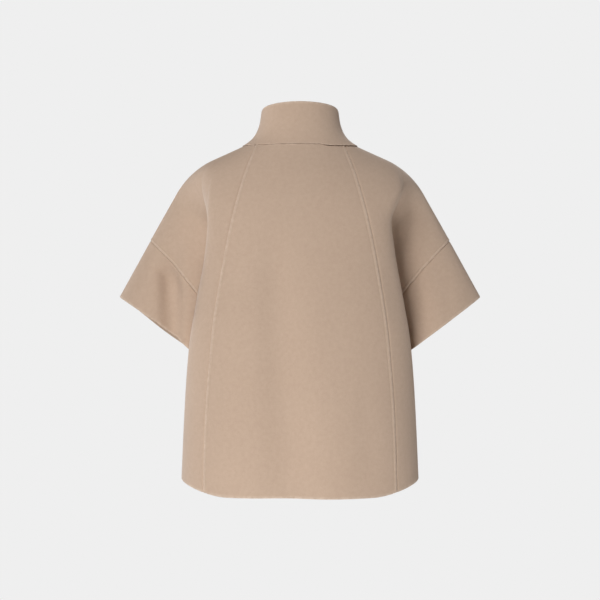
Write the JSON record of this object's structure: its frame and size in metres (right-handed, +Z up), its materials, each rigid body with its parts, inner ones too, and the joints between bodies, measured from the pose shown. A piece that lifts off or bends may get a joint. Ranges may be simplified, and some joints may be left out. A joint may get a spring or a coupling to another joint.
{
  "type": "wool cape",
  "caption": "Short cape of double-faced wool with a funnel collar, dropped shoulders, wide half sleeves and long back seams, kept hollow as if worn.",
  "frame": {"origin": "middle of the neck opening, level with the points where the collar meets the shoulders", "axes": "+X the wearer's right, +Y the wearer's front, +Z up; the picture looks along +Y at the back"},
  "size_m": [0.6712, 0.306, 0.7011],
  "materials": {
    "wool": "matte double-faced wool with a soft nap"
  },
  "bodies": {
    "root": {"back_panel": "wool", "side_back_left": "wool", "side_back_right": "wool", "front_left": "wool", "front_right": "wool", "sleeve_left": "wool", "sleeve_right": "wool", "collar": "wool"}
  },
  "joints": []
}
